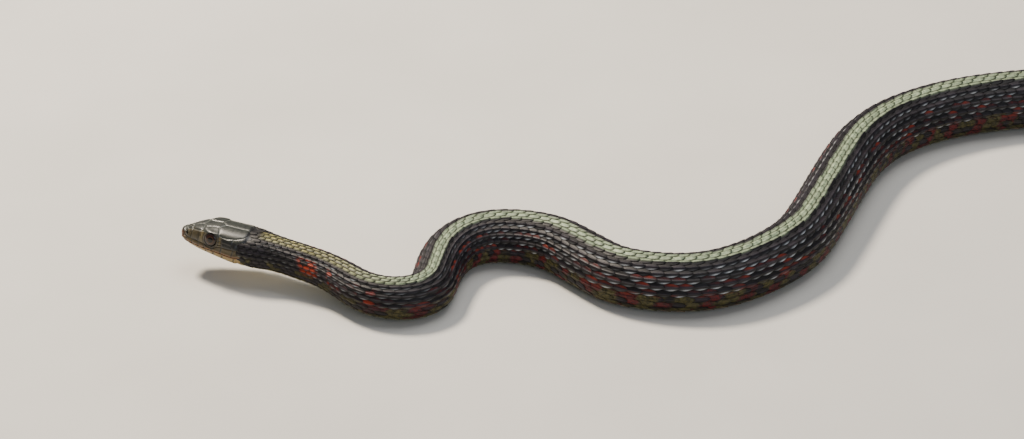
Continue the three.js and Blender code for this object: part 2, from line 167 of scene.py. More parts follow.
# Rows that end before the tail tip, as in the species: row counted from the back, place of its end
DROPPED_ROWS = [(6, 345), (4, 470), (7, 510), (5, 532), (8, 556), (3, 590), (9, 632)]
DROP_LENGTH = 22
FIRST_SCALES_AT = [18.4, 19.0, 19.2, 18.3, 17.2, 16.9, 17.0, 17.5, 18.5, 19.4]
BELLY_EDGE = 0.715
SCALE_OVERLAP = 1.5
SCUTE_OVERLAP = 1.42
SCALE_WIDENING = 1.16
TILE_THICKNESS = 0.1
FIRST_SCUTE_AT = 26.5
# Throat scales: where each row starts, counted from the middle, and how they are spread
THROAT_ROW_STARTS = [12.9, 13.3, 14.2, 15.4, 16.9]
THROAT_PITCH = 1.9
THROAT_ROWS_TO_EDGE = 4.4
THROAT_SCALE_REACH = 0.62
CHANCES = np.random.default_rng(11)
SKIN_SEED = 5

# Markings: red bars of the neck as (place, half length), and the length of body to each side bar
NECK_BARS = [(39, 3.5), (48.6, 2.7), (58.6, 3.1)]
BAR_SPACING = 9.2
# Distances over which the neck's own markings fade out
NECK_FADE = (46, 80)
# Bands of rows that hold marks: from and to where they begin, from and to where they end
SIDE_BAND = (2.6, 3.4, 6.2, 7.0)
LOW_BAND = (5.9, 6.6, 9.2, 9.9)
# The last band holds the pale dashes, which are partly pale flecks and partly painted glints.
PALE_FLECK_AND_GLINT_BAND = (1.6, 2.4, 6.4, 7.2)

# View of the photograph, which is 1024 by 439 pixels
VIEW_TARGET = (-174.95, -4.30, 0.0)
VIEW_ELEVATION = 32
VIEW_DISTANCE = 1000
VIEW_LENS = 126.5625
VIEW_SENSOR = 36

# Floor and light: each lamp's place from the view's target, width, power and colour
FLOOR_REACH = 4000
FLOOR_LEVEL = -0.05
LAMPS = {
    "high_window": ((-420, 380, 820), 220, 21, "#fff1de"),
    "front_fill": ((400, -900, 500), 900, 2.5, "#e6eeff"),
    "overhead": ((200, 200, 1150), 900, 7, "#ffffff"),
}
AIR_COLOUR = "#dfe3e8"
AIR_STRENGTH = 0.31


def curve_through(table):
    """A function that runs smoothly through the table's values without passing above or below them."""
    places = np.array([row[0] for row in table], float)
    values = np.array([row[1] for row in table], float)
    width = np.diff(places)
    slope = np.diff(values) / width
    tangent = np.zeros(len(table))
    tangent[0] = slope[0]
    tangent[-1] = slope[-1]
    for k in range(1, len(table) - 1):
        if slope[k - 1] * slope[k] > 0:
            before = 2 * width[k] + width[k - 1]
            after = width[k] + 2 * width[k - 1]
            tangent[k] = (before + after) / (before / slope[k - 1] + after / slope[k])

    def value(at):
        at = np.clip(np.asarray(at, float), places[0], places[-1])
        i = np.clip(np.searchsorted(places, at, side="right") - 1, 0, len(width) - 1)
        t = (at - places[i]) / width[i]
        rise = values[i + 1] - values[i]
        bend_in = width[i] * tangent[i] - rise
        bend_out = rise - width[i] * tangent[i + 1]
        return values[i] + t * rise + t * (1 - t) * ((1 - t) * bend_in + t * bend_out)

    return value


heading_of = curve_through(HEADING)
neck_rise = curve_through(NECK_RISE)
half_width = curve_through(HALF_WIDTH)
back_height = curve_through(BACK)
belly_depth = curve_through(BELLY)
upper_squareness = curve_through(UPPER_SQUARENESS)
lower_squareness = curve_through(LOWER_SQUARENESS)
crown_lean = curve_through(CROWN_LEAN)
scale_pitch = curve_through(SCALE_PITCH)
upper_lip_height = curve_through(UPPER_LIP_HEIGHT)
chin_lip_depth = curve_through(CHIN_LIP_DEPTH)
canthus_height = curve_through(CANTHUS)
first_scale_at = curve_through(list(enumerate(FIRST_SCALES_AT)))


def ease(low, high, x):
    """0 up to low, 1 from high, and smooth between them."""
    t = np.clip((np.asarray(x, float) - low) / (high - low), 0, 1)
    return t * t * (3 - 2 * t)


def bump(x, middle, spread):
    """1 at the middle, falling off on both sides."""
    return np.exp(-(((np.asarray(x, float) - middle) / spread) ** 2))


def between(begins, begun, ends, ended, x):
    """0 outside, 1 inside, and smooth where the stretch begins and ends."""
    return ease(begins, begun, x) * (1 - ease(ends, ended, x))


def axis_height(at):
    at = np.asarray(at, float)
    return np.where(at < GROUNDED_AT, neck_rise(at), belly_depth(at) * (1 - FLATTENING))


# Centre line on the ground, found by walking along the headings
WALK_AT = np.arange(0, TOTAL_LENGTH + PATH_STEP / 2, PATH_STEP)
_steps = np.radians(heading_of(WALK_AT[:-1] + PATH_STEP / 2))
WALK_X = SNOUT_X + np.concatenate([[0], np.cumsum(np.cos(_steps) * PATH_STEP)])
WALK_Y = SNOUT_Y + np.concatenate([[0], np.cumsum(np.sin(_steps) * PATH_STEP)])


def body_frame(at):
    """Points of the axis, and the tailward, right and upward directions there."""
    at = np.asarray(at, float)
    heading = np.radians(heading_of(at))
    climb = axis_height(at + 0.5) - axis_height(at - 0.5)
    slope = np.where(at < 0.5, NOSE_SLOPE, climb)
    tailward = np.stack([np.cos(heading), np.sin(heading), slope], -1)
    tailward /= np.linalg.norm(tailward, axis=-1, keepdims=True)
    right = np.stack([-np.sin(heading), np.cos(heading), np.zeros_like(heading)], -1)
    up = np.cross(tailward, right)
    x = np.interp(at, WALK_AT, WALK_X)
    y = np.interp(at, WALK_AT, WALK_Y)
    return np.stack([x, y, axis_height(at)], -1), tailward, right, up


def section(at, degrees):
    """Point of the section, 0 degrees on the back and 90 on the right side."""
    angle = np.radians(degrees)
    upper = np.cos(angle) >= -1e-9
    power = 2 / np.where(upper, upper_squareness(at), lower_squareness(at))
    across = np.sign(np.sin(angle)) * np.abs(np.sin(angle)) ** power
    over = np.sign(np.cos(angle)) * np.abs(np.cos(angle)) ** power
    height = np.where(upper, back_height(at), belly_depth(at))
    lean = np.where(upper, 1 - crown_lean(at) * np.maximum(over, 0) ** 1.5, 1)
    turned = np.abs((degrees + 180) % 360 - 180)
    brow = (
        BROW["height"]
        * bump(at, BROW["at"], BROW["length"])
        * bump(turned, BROW["angle"], BROW["spread"])
    )
    lift = SNOUT_RAISE * np.maximum(0, 1 - np.asarray(at) / SNOUT_RAISE_LENGTH) ** 2
    side = across * np.maximum(half_width(at) + brow, 0.02) * lean
    return side, over * np.maximum(height + brow, 0.02) + lift


# Angles of even steps of girth, at stations along the body
STATIONS = np.concatenate(
    [np.linspace(0, 2, 41), np.arange(2.1, 30, 0.3), np.arange(30, TOTAL_LENGTH + 1, 2)]
)
GIRTH_STEPS = 128
_turns = np.linspace(0, 180, 361)
_sx, _sy = section(STATIONS[:, None], _turns[None, :] + 0 * STATIONS[:, None])
_round = np.cumsum(np.hypot(np.diff(_sx, axis=1), np.diff(_sy, axis=1)), axis=1)
_round = np.concatenate([np.zeros((len(STATIONS), 1)), _round], axis=1)
GIRTH_ANGLES = np.stack(
    [np.interp(np.linspace(0, 1, GIRTH_STEPS + 1), r / r[-1], _turns) for r in _round]
)


def girth_angle(at, girth):
    """Angle in degrees of a girth at a distance."""
    girth = (np.asarray(girth, float) + 1) % 2 - 1
    i = np.clip(np.searchsorted(STATIONS, at, side="right") - 1, 0, len(STATIONS) - 2)
    t = np.clip((at - STATIONS[i]) / (STATIONS[i + 1] - STATIONS[i]), 0, 1)
    place = np.abs(girth) * GIRTH_STEPS
    j = np.clip(place.astype(int), 0, GIRTH_STEPS - 1)
    s = place - j
    near = GIRTH_ANGLES[i, j] * (1 - s) + GIRTH_ANGLES[i, j + 1] * s
    far = GIRTH_ANGLES[i + 1, j] * (1 - s) + GIRTH_ANGLES[i + 1, j + 1] * s
    return np.where(girth < 0, -1, 1) * (near * (1 - t) + far * t)


def section_out(at, girth, out):
    """Point of the section at a girth, moved out of the surface, in the section's right and up."""
    side, up = section(at, girth_angle(at, girth))
    near = 0.006
    side_before, up_before = section(at, girth_angle(at, girth - near))
    side_after, up_after = section(at, girth_angle(at, girth + near))
    run = side_after - side_before
    climb = up_after - up_before
    length = np.maximum(np.hypot(run, climb), 1e-9)
    return side - climb / length * out, up + run / length * out


def body_point(at, girth, out):
    """Point over the body's surface, kept off the ground by as much as it lies inside the surface."""
    at, girth, out = np.broadcast_arrays(
        np.clip(at, 0, TOTAL_LENGTH), np.asarray(girth, float), np.asarray(out, float)
    )
    side, up = section_out(at, girth, out)
    point, _, right_way, up_way = body_frame(at)
    point = point + right_way * side[..., None] + up_way * up[..., None]
    floor_gap = 0.03 + np.maximum(-out, 0)
    point[..., 2] = np.maximum(point[..., 2], floor_gap)
    return point


def coat_depth(at, girth):
    """How far the bare skin lies inside the scales."""
    turned = np.abs((np.asarray(girth, float) + 1) % 2 - 1)
    beside = ease(0.22, 0.34, turned)
    under = ease(0.70, 0.86, turned)
    start = COAT_STARTS_AT + (CHEEK_COAT_STARTS_AT - COAT_STARTS_AT) * beside
    start = start + (THROAT_STARTS_AT - start) * under
    return COAT_SHARE * half_width(at) * ease(0, COAT_ONSET, np.asarray(at) - start)


# Rows of scales
def row_weight(row, at):
    """Share of its full width that a row keeps at a distance."""
    weight = np.ones_like(np.asarray(at, float))
    for dropped, end in DROPPED_ROWS:
        if dropped == row:
            weight = weight * (1 - ease(end - DROP_LENGTH, end, at))
    return weight


_ROW_AT = np.arange(0, TOTAL_LENGTH + 0.5, 1.0)
_weights = np.stack([row_weight(k, _ROW_AT) for k in range(ROWS_A_SIDE + 1)])
_edges = np.cumsum(_weights, axis=0) - 0.5
ROW_EDGES = _edges / _edges[-1] * BELLY_EDGE


def row_edge(row, at):
    if row < 0:
        return np.zeros_like(np.asarray(at, float))
    return np.interp(at, _ROW_AT, ROW_EDGES[row])


def row_middle(row, at):
    if row == 0:
        return np.zeros_like(np.asarray(at, float))
    return (row_edge(row - 1, at) + row_edge(row, at)) / 2


def row_reach(row, at):
    """Half the width of a row, in girth."""
    if row == 0:
        return row_edge(0, at)
    return (row_edge(row, at) - row_edge(row - 1, at)) / 2


_count = np.concatenate([[0], np.cumsum(1 / scale_pitch(_ROW_AT[:-1] + 0.5))])


def row_count(row, at):
    """Number of scales from the snout to a distance, half a scale more in every other row."""
    kept = sum(np.interp(at, _ROW_AT, _weights[k]) for k in range(1, row + 1))
    return np.interp(at, _ROW_AT, _count) + 0.5 * kept


def roots_of_row(row, start, end):
    """Places along the body where the scales of a row are rooted."""
    places = np.arange(start, end, 0.25)
    counts = row_count(row, places)
    numbers = np.arange(math.ceil(counts[0]), math.floor(counts[-1]) + 1)
    return np.interp(numbers, counts, places)


# Markings, the same for the scales and the bare skin, with painted light among them: glints on the pale
# dashes and the sunlit tone of the red
def markings(at, row, chance, lower, way):
    """Shares of each colour. Row is the distance from the middle of the back in rows, chance a number
    from 0 to 1 for the scale, lower runs from -1 on a scale's upper edge to 1 on its lower edge, and
    way from 0 at its root to 1 at its tip."""
    at = np.asarray(at, float)
    row = np.abs(row)
    neck = 1 - ease(*NECK_FADE, at)
    stripe_reach = 0.84 + 0.42 * neck + 0.34 * (chance - 0.5) - 0.5 * ease(420, 600, at)
    stripe = (1 - ease(stripe_reach - 0.12, stripe_reach + 0.34, row)) * ease(22, 25.5, at)
    wave = np.sin(at * 2 * math.pi / BAR_SPACING + 0.7 * np.sin(at / 31) + row * 0.5)
    bars = ease(-0.1, 0.55, wave + 1.3 * (chance - 0.5))
    side_band = between(*SIDE_BAND, row)
    low_band = between(*LOW_BAND, row)
    slant = 0.7 * (row - 4.5)
    neck_red = sum(bump(at - slant, place, spread) for place, spread in NECK_BARS)
    upper_edge = ease(0.1, 0.8, -lower) * bump(way, 0.66, 0.3)
    lower_edge = between(0.4, 0.75, 0.86, 1.0, lower) * bump(way, 0.62, 0.2)
    flecks = side_band * upper_edge * ease(0.45, 0.55, chance) * (0.45 + 0.55 * bars)
    blotches = low_band * bars * ease(0.30, 0.42, (chance * 7.3) % 1)
    red = np.clip(flecks + 0.8 * blotches, 0, 1) * ease(30, 34, at)
    neck_bars = ease(0.3, 0.7, neck_red) * ease(2.7, 3.3, row) * (1 - ease(5.9, 7.2, row))
    streak = (1 - ease(0.2, 0.85, lower)) * ease(0.2, 0.45, way) * (1 - ease(0.86, 0.97, way))
    streak = streak * ease(0.14, 0.3, (chance * 9.1) % 1)
    red = np.maximum(red * (1 - neck), neck_bars * streak)
    # Painted light: bright orange-red, the tone the red shows in sunlight, painted on the neck and on
    # some flecks of the sides.
    bright = np.clip(bump(at, 38.5, 5) + 0.6 * (chance > 0.72) * side_band, 0, 1)
    # Painted highlight: the pale dashes are partly pale flecks at the scale edges and partly painted
    # glints, made stronger by sunlit where sunlight would fall on the flank and the neck.
    sunlit = 0.35 + 0.65 * ease(96, 118, at) * (1 - 0.45 * ease(180, 320, at))
    sunlit = sunlit + 0.6 * bump(at, 50, 11)
    pale = between(*PALE_FLECK_AND_GLINT_BAND, row) * lower_edge * sunlit
    pale = pale * (0.1 + 0.9 * ease(0.08, 0.75, (chance * 3.7) % 1))
    olive = low_band * (1 - bars) * ease(0.25, 0.4, (chance * 5.1) % 1)
    olive = np.maximum(olive, ease(8.5, 9.4, row)) * (1 - ease(9.6, 10, row) * 0.2)
    return {
        "stripe": stripe,
        "yellow": 1 - ease(34, 72, at),
        "red": red * (1 - stripe),
        "bright": bright,
        "pale": pale * (1 - red),
        "olive": olive * (1 - red),
    }


# Making meshes
def mesh_piece(name, points, face_groups, flat_groups=(), maps=None, shares=None, material=None):
    """A joined mesh from points in millimetres and groups of faces, each group with its own number of
    corners. maps gives each group's places on the flat layout, shares a number for each point."""
    mesh = bpy.data.meshes.new(name)
    corners = np.concatenate([group.reshape(-1) for group in face_groups])
    sizes = np.concatenate([np.full(len(group), group.shape[1]) for group in face_groups])
    starts = np.concatenate([[0], np.cumsum(sizes)[:-1]])
    mesh.vertices.add(len(points))
    mesh.vertices.foreach_set("co", (points * MILLIMETRE).astype(np.float32).reshape(-1))
    mesh.loops.add(len(corners))
    mesh.polygons.add(len(sizes))
    mesh.polygons.foreach_set("loop_start", starts.astype(np.int32))
    mesh.polygons.foreach_set("vertices", corners.astype(np.int32))
    smooth = np.concatenate(
        [np.full(len(group), i not in flat_groups) for i, group in enumerate(face_groups)]
    )
    mesh.polygons.foreach_set("use_smooth", smooth)
    mesh.update(calc_edges=True)
    if maps is not None:
        layer = mesh.uv_layers.new(name="OFBake")
        places = np.concatenate([group.reshape(-1, 2) for group in maps])
        layer.data.foreach_set("uv", places.astype(np.float32).reshape(-1))
    for key, values in (shares or {}).items():
        layer = mesh.attributes.new(key, "FLOAT", "POINT")
        layer.data.foreach_set("value", np.asarray(values, np.float32).reshape(-1))
    mesh.validate()
    piece = bpy.data.objects.new(name, mesh)
    bpy.context.scene.collection.objects.link(piece)
    if material is not None:
        mesh.materials.append(material)
    return piece


def tile_faces(columns, rows):
    """Faces of one closed tile: its top, its two sides, its underside and its two ends. The points are
    the top grid, rows from root to tip, and then the left and right edge of the underside."""
    top = np.arange(columns * rows).reshape(rows, columns)
    left = columns * rows + np.arange(rows)
    right = left + rows
    upper = np.stack([top[:-1, :-1], top[:-1, 1:], top[1:, 1:], top[1:, :-1]], -1).reshape(-1, 4)
    left_side = np.stack([top[:-1, 0], top[1:, 0], left[1:], left[:-1]], -1)
    right_side = np.stack([top[1:, -1], top[:-1, -1], right[:-1], right[1:]], -1)
    under = np.stack([left[:-1], left[1:], right[1:], right[:-1]], -1)
    root = np.concatenate([top[0, ::-1], [left[0], right[0]]])[None, :]
    tip = np.concatenate([top[-1], [right[-1], left[-1]]])[None, :]
    return [upper, left_side, right_side, under, root, tip]


def tile_places(columns, rows, across):
    """Places of the same faces on the tile's own square of the flat layout."""
    along_way = np.linspace(0.04, 0.93, rows)
    over_way = 0.27 + 0.68 * (np.asarray(across) + 1) / 2
    grid = np.stack(np.meshgrid(along_way, over_way, indexing="ij"), -1)

    def strip(low, high):
        a = np.stack([along_way, np.full(rows, low)], -1)
        b = np.stack([along_way, np.full(rows, high)], -1)
        return a, b

    upper = np.stack([grid[:-1, :-1], grid[:-1, 1:], grid[1:, 1:], grid[1:, :-1]], -2)
    a, b = strip(0.08, 0.03)
    left_side = np.stack([a[:-1], a[1:], b[1:], b[:-1]], -2)
    a, b = strip(0.15, 0.10)
    right_side = np.stack([a[1:], a[:-1], b[:-1], b[1:]], -2)
    a, b = strip(0.17, 0.24)
    under = np.stack([a[:-1], a[1:], b[1:], b[:-1]], -2)

    def end(low, high):
        line = np.stack([np.full(columns, 0.95), np.linspace(low, high, columns)], -1)
        foot = np.array([[0.98, high], [0.98, low]])
        return np.concatenate([line, foot])[None, :, :]

    root = end(0.3, 0.55)
    return [upper.reshape(-1, 4, 2), left_side, right_side, under, root, end(0.6, 0.9)]


def lay_tiles(name, tiles, across, rows, height_at, reach_at, shares_at, material):
    """Lays closed overlapping tiles on the body and joins them into one piece. Each tile has a root, a
    length, a middle girth that may change along it, a chance and a place in the flat layout."""
    columns = len(across)
    count = len(tiles["root"])
    over = np.asarray(across, float)
    way = np.linspace(0, 1, rows)
    at = tiles["root"][:, None, None] + tiles["length"][:, None, None] * way[None, :, None]
    at = np.minimum(at, TOTAL_LENGTH - 0.05) + 0 * over[None, None, :]
    middle = tiles["middle"](at)
    reach = reach_at(at, way[None, :, None])
    girth = middle + reach * over[None, None, :] + tiles["lean"][:, None, None] * way[None, :, None]
    size = np.clip(half_width(at) / 8, 0.1, 1.05)
    height = height_at(way[None, :, None], over[None, None, :], at, tiles) * size
    top = body_point(at, girth, height)
    edge_at = at[:, :, [0, -1]]
    edge_girth = middle[:, :, [0, -1]] + 0.93 * (girth[:, :, [0, -1]] - middle[:, :, [0, -1]])
    edge_height = height[:, :, [0, -1]] - TILE_THICKNESS * size[:, :, [0, -1]]
    under = body_point(edge_at, edge_girth, edge_height)
    points = np.concatenate(
        [top.reshape(count, -1, 3), under[:, :, 0], under[:, :, 1]], axis=1
    )
    shares = shares_at(at, girth, way[None, :, None], over[None, None, :], tiles)
    shares = {
        key: np.concatenate(
            [
                (value + 0 * at).reshape(count, -1),
                (value + 0 * at)[:, :, 0],
                (value + 0 * at)[:, :, -1],
            ],
            axis=1,
        )
        for key, value in shares.items()
    }
    template = tile_faces(columns, rows)
    per_tile = points.shape[1]
    offsets = (np.arange(count) * per_tile)[:, None, None]
    faces = [(group[None] + offsets).reshape(-1, group.shape[1]) for group in template]
    # The flat layout is the skin unrolled and folded into lines. A tile's cell starts within one cell's
    # width of its root's place.
    cell = np.stack([tiles["cell_x"], tiles["cell_y"]], -1)[:, None, None, :]
    span = np.array([tiles["cell_wide"], tiles["cell_high"]])
    maps = [
        (cell + group[None] * span).reshape(-1, group.shape[1], 2)
        for group in tile_places(columns, rows, over)
    ]
    return mesh_piece(name, points.reshape(-1, 3), faces, (1, 2, 3, 4, 5), maps, shares, material)


def unrolled(roots, lanes, lane_count, folds):
    """Cells of the flat layout: the skin unrolled from snout to tail and folded into a few lines."""
    start = roots.min() - 0.01
    length = (roots.max() - start) / folds * 1.0001
    line = np.floor((roots - start) / length)
    along_line = (roots - start) / length - line
    # A cell is as wide as the closest two roots of one lane on one line, so that none overlaps.
    wide = 1.0
    for one_line in range(folds):
        for lane in range(lane_count):
            places = np.sort(along_line[(line == one_line) & (lanes == lane)])
            if len(places) > 1:
                wide = min(wide, float(np.diff(places).min()))
    shrink = 1 / (1 + wide)
    high = 1 / (folds * lane_count)
    return {
        "cell_x": along_line * shrink,
        "cell_y": (line * lane_count + lanes) * high,
        "cell_wide": wide * shrink,
        "cell_high": high,
    }


# Colours and materials
def linear(code):
    """Linear colour of an sRGB hex code."""
    parts = [int(code[i : i + 2], 16) / 255 for i in (1, 3, 5)]
    return tuple(p / 12.92 if p <= 0.04045 else ((p + 0.055) / 1.055) ** 2.4 for p in parts) + (1,)


def add_node(material, kind, output, sockets=None, stops=(), **settings):
    """Adds a node with its settings and links, and returns one of its outputs. A socket takes a value,
    a hex code or another node's output. A colour ramp takes stops, as places and hex codes."""
    tree = material.node_tree
    made = tree.nodes.new(kind)
    for key, value in settings.items():
        setattr(made, key, value)
    for key, value in (sockets or {}).items():
        if isinstance(value, bpy.types.NodeSocket):
            tree.links.new(value, made.inputs[key])
        else:
            made.inputs[key].default_value = linear(value) if isinstance(value, str) else value
    elements = made.color_ramp.elements if stops else []
    while len(elements) < len(stops):
        elements.new(0.5)
    for element, (place, code) in zip(elements, stops):
        element.position = place
        element.color = linear(code)
    return made.outputs[output]


SHARE = "ShaderNodeAttribute"
NOISE = "ShaderNodeTexNoise"
RAMP = "ShaderNodeValToRGB"
MIX = "ShaderNodeMix"
MATH = "ShaderNodeMath"


def new_material(name, **sockets):
    """A material whose shader has these values, and the place on the object for its soft spots."""
    material = bpy.data.materials.new(name)
    material.use_nodes = True
    shader = material.node_tree.nodes["Principled BSDF"]
    for key, value in sockets.items():
        shader.inputs[key.replace("_", " ")].default_value = value
    return material, add_node(material, "ShaderNodeTexCoord", "Object")


def spots_of(place, size_mm, detail=3):
    """Sockets of a noise with soft spots of about this size."""
    return {"Vector": place, "Scale": 1 / (size_mm * MILLIMETRE), "Detail": detail, "Roughness": 0.6}


def laid_over(material, colour, layers):
    """Lays colours over a ground, each where the mesh's share of that name is and at its strength."""
    for name, strength, cover in layers:
        factor = add_node(material, SHARE, "Fac", attribute_name=name)
        if strength != 1:
            factor = add_node(material, MATH, 0, {0: factor, 1: strength}, operation="MULTIPLY")
        colour = add_node(material, MIX, 2, {0: factor, 6: colour, 7: cover}, data_type="RGBA")
    return colour


def finish(material, colour, roughness, bump_height, bump_share, bump_distance):
    """Links the colour, the roughness as low and high over soft spots, and the bump."""
    low, high, spots = roughness
    spread = add_node(material, MATH, 0, {0: spots, 1: high - low}, operation="MULTIPLY")
    rough = add_node(material, MATH, 0, {0: spread, 1: low}, operation="ADD")
    distance = bump_distance * MILLIMETRE
    relief = {"Height": bump_height, "Strength": bump_share, "Distance": distance}
    normal = add_node(material, "ShaderNodeBump", 0, relief)
    shader = material.node_tree.nodes["Principled BSDF"]
    for key, output in (("Base Color", colour), ("Roughness", rough), ("Normal", normal)):
        material.node_tree.links.new(output, shader.inputs[key])


def marked_colour(material, place, dark):
    """Lays the snake's markings over its dark ground colour, with the painted glints of the pale dashes
    and the sunlit tone of the red among them.
    """
    grain = add_node(material, NOISE, "Fac", spots_of(place, 0.7))
    olive = add_node(material, RAMP, "Color", {"Fac": grain}, [(0.35, "#24220f"), (0.62, "#4f4a2a")])
    red = add_node(material, RAMP, "Color", {"Fac": grain}, [(0.35, "#2c0d10"), (0.6, "#631b1b")])
    green = add_node(material, RAMP, "Color", {"Fac": grain}, [(0.35, "#71846a"), (0.62, "#a9b694")])
    yellow = add_node(material, RAMP, "Color", {"Fac": grain}, [(0.35, "#837c46"), (0.62, "#b3aa6c")])
    # Painted light: the sunlit tone of the red.
    red = laid_over(material, red, [("bright", 1, "#9c3519")])
    stripe = laid_over(material, green, [("yellow", 1, yellow), ("chance", 0.5, "#5f6b55")])
    markings_in_order = [
        ("olive", 1, olive),
        ("red", 1, red),
        # pale dashes: partly pale flecks, partly painted glints
        ("pale", 1, "#b5babf"),
        ("stripe", 1, stripe),
    ]
    return laid_over(material, dark, markings_in_order)


def keeled_scale_horn():
    """Thin dry keratin, keeled and matt, with a painted highlight: a lighter streak laid along each
    keel.
    """
    material, place = new_material("keeled_scale_horn", IOR=1.5, Specular_IOR_Level=0.24)
    spots = add_node(material, NOISE, "Fac", spots_of(place, 0.35))
    fine = add_node(material, NOISE, "Fac", spots_of(place, 0.12, 2))
    chance = add_node(material, SHARE, "Fac", attribute_name="chance")
    darks = [(0.0, "#0a080a"), (0.6, "#141115"), (1.0, "#201c22")]
    ground = add_node(material, RAMP, "Color", {"Fac": chance}, darks)
    # Painted highlight: the keels are lightened as if catching the light.
    ground = laid_over(material, ground, [("keel", 0.3, "#5f5964")])
    colour = marked_colour(material, place, ground)
    colour = laid_over(material, colour, [("rim", 0.85, "#0c0a09")])
    finish(material, colour, (0.38, 0.58, spots), fine, 0.35, 0.02)
    return material


def belly_scute_horn():
    """Smooth wide keratin plates under the belly, glossier than the back and faintly cloudy."""
    material, place = new_material("belly_scute_horn", IOR=1.55, Specular_IOR_Level=0.5)
    spots = add_node(material, NOISE, "Fac", spots_of(place, 1.6))
    fine = add_node(material, NOISE, "Fac", spots_of(place, 0.15, 2))
    ground = add_node(material, RAMP, "Color", {"Fac": spots}, [(0.35, "#5c5e42"), (0.65, "#858764")])
    layers = [
        ("dark", 1, "#2c2a22"),
        ("chin", 1, "#c9bc91"),
        ("red", 1, "#7a3326"),
        ("rim", 0.5, "#3a3826"),
    ]
    finish(material, laid_over(material, ground, layers), (0.3, 0.48, spots), fine, 0.2, 0.02)
    return material


def head_plate_horn():
    """Smooth keratin plates of the head with a slight polish, and thin skin in the seams and under
    the scales. Dark olive grey above, olive and cream on the lips, cream under the chin. Pale crown
    seams are partly pale skin and partly painted highlight."""
    material, place = new_material("head_plate_horn", IOR=1.55, Specular_IOR_Level=0.5)
    spots = add_node(material, NOISE, "Fac", spots_of(place, 0.8))
    small = add_node(material, NOISE, "Fac", spots_of(place, 0.25))
    crown = add_node(material, RAMP, "Color", {"Fac": spots}, [(0.3, "#181a17"), (0.7, "#2f332c")])
    cheek = add_node(material, RAMP, "Color", {"Fac": spots}, [(0.3, "#231d11"), (0.7, "#3f371f")])
    lip = add_node(material, RAMP, "Color", {"Fac": small}, [(0.3, "#322916"), (0.7, "#544727")])
    chin = add_node(material, RAMP, "Color", {"Fac": small}, [(0.3, "#776237"), (0.7, "#9a8452")])
    bare = laid_over(material, crown, [("bare", 1, "#0e0c0d")])
    face = [
        ("cheek", 1, cheek),
        ("light", 1, "#594e2e"),
        ("lip", 1, lip),
        ("chin", 1, chin),
        ("orange", 1, "#9a5c2c"),
        ("rust", 1, "#5a2a1c"),
        ("black", 1, "#0d0b0a"),
        ("seam", 1, "#0e0c0a"),
        # pale crown seams: partly pale skin, partly painted highlight
        ("pale_seam_and_glint", 1, "#8b8e86"),
    ]
    colour = laid_over(material, marked_colour(material, place, bare), face)
    finish(material, colour, (0.27, 0.45, spots), small, 0.15, 0.02)
    return material


def wet_eye():
    """An eyeball under its clear fixed scale: a round black pupil, a rusty iris and a wet gloss."""
    material, place = new_material(
        "wet_eye", IOR=1.38, Specular_IOR_Level=0.3, Coat_Weight=0.5, Coat_Roughness=0.03
    )
    streaks = add_node(material, NOISE, "Fac", spots_of(place, 0.16))
    rusts = [(0.3, "#120807"), (0.55, "#27110b"), (0.75, "#452012")]
    iris = add_node(material, RAMP, "Color", {"Fac": streaks}, rusts)
    layers = [("ring", 1, "#7a5630"), ("pupil", 1, "#050404"), ("rim", 1, "#15100e")]
    colour = laid_over(material, iris, layers)
    finish(material, colour, (0.12, 0.2, streaks), streaks, 0.02, 0.01)
    return material


def pale_paper_floor():
    """Matt pale paper, so that the snake's colours and its contact shadow read clearly."""
    material, place = new_material("pale_paper_floor", IOR=1.45)
    spots = add_node(material, NOISE, "Fac", spots_of(place, 90))
    fine = add_node(material, NOISE, "Fac", spots_of(place, 1.5))
    colour = add_node(material, RAMP, "Color", {"Fac": spots}, [(0.3, "#c9c6bf"), (0.7, "#d2cfc8")])
    finish(material, colour, (0.85, 0.95, spots), fine, 0.05, 0.05)
    return material


# Skin with the plated head
HEAD_COLUMNS = 320
BODY_COLUMNS = 64
HEAD_END = 30.0


def angle_for_side(at, side, under=False):
    """Angle on the section whose point lies this far out, on the crown or under the chin."""
    turns = np.linspace(90, 180, 361) if under else np.linspace(0, 90, 361)
    found = []
    for one_at, one_side in zip(at, side):
        x, _ = section(np.full(len(turns), one_at), turns)
        order = np.argsort(x)
        found.append(np.interp(one_side, x[order], turns[order]))
    return np.array(found)


def angle_for_height(at, height):
    """Angle on the section whose point lies this high over the lip line."""
    turns = np.linspace(0, 180, 721)
    found = []
    for one_at, one_height in zip(at, height):
        _, y = section(np.full(len(turns), one_at), turns)
        found.append(np.interp(one_height, y[::-1], turns[::-1]))
    return np.array(found)


def seam_points(line, angle_of):
    """Points of a seam on both sides of the head, in the head's own back, side and up."""
    places = []
    for (a1, b1), (a2, b2) in zip(line, line[1:]):
        steps = max(2, int(math.hypot(a2 - a1, b2 - b1) / 0.06))
        t = np.linspace(0, 1, steps)
        places.append(np.stack([a1 + (a2 - a1) * t, b1 + (b2 - b1) * t], -1))
    places = np.concatenate(places)
    angles = angle_of(places[:, 0], places[:, 1])
    x, y = section(places[:, 0], angles)
    one = np.stack([places[:, 0], x, y], -1)
    return np.concatenate([one, one * np.array([1, -1, 1])])


def distance_to(points, targets):
    """Distance of each point to the nearest target."""
    tree = KDTree(len(targets))
    for i, target in enumerate(targets):
        tree.insert(target, i)
    tree.balance()
    return np.array([tree.find(p)[2] for p in points])


